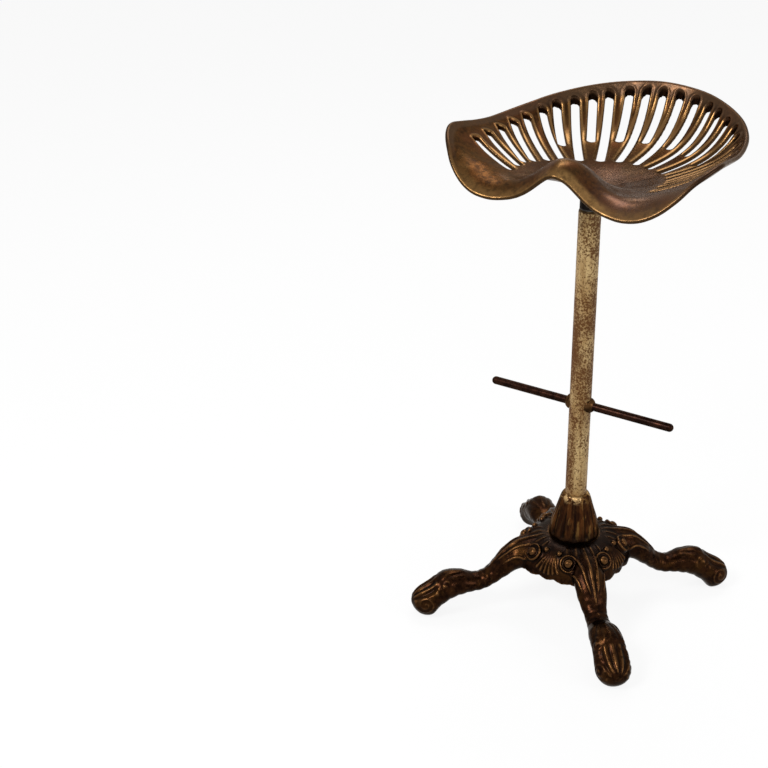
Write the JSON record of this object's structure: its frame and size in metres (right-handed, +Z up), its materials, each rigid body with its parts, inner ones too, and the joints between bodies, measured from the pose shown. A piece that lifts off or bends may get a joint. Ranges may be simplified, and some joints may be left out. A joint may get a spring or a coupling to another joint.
{
  "type": "swivel stool",
  "caption": "Swivelling stool: slotted cast-iron implement seat with pommel on a pipe post, with a cross foot bar, fluted collar and cast four-legged cabriole base.",
  "frame": {"origin": "on the floor under the axis of the post", "axes": "+Z up along the post; two legs lie along X and two along Y; the seat faces about 42 degrees clockwise of -Y seen from above"},
  "size_m": [0.525, 0.525, 0.7959],
  "materials": {
    "seat_iron": "bronzed brown cast iron with golden and olive mottling, worn bright at the front edge",
    "base_iron": "dark brown cast iron, satin, lighter on the ridges",
    "collar_iron": "rust-brown cast iron with gold edges",
    "worn_paint": "distressed cream paint over rusted steel pipe",
    "bar_steel": "dark red-brown patinated steel",
    "braze": "rough brown braze",
    "black_steel": "blackened steel, satin",
    "plain_steel": "plain steel",
    "bronze": "plain bearing bronze"
  },
  "bodies": {
    "stand": {"thrust_washer": "plain_steel", "upper_bush": "bronze", "lower_bush": "bronze", "post": "worn_paint", "foot_bar": "bar_steel", "bar_bead_left": "braze", "bar_bead_right": "braze", "collar": "collar_iron", "base_casting": "base_iron", "post_plug": "plain_steel", "base_washer": "plain_steel", "base_bolt": "plain_steel"},
    "seat": {"seat_pan": "seat_iron", "seat_bolt": "black_steel", "swivel_spindle": "black_steel", "retainer_washer": "plain_steel", "retainer_bolt": "plain_steel"}
  },
  "joints": [
    {"name": "seat_swivel", "type": "hinge", "parent": "stand", "child": "seat", "pos_m": [0, 0, 0.665], "axis": [0, 0, 1], "continuous": true}
  ]
}
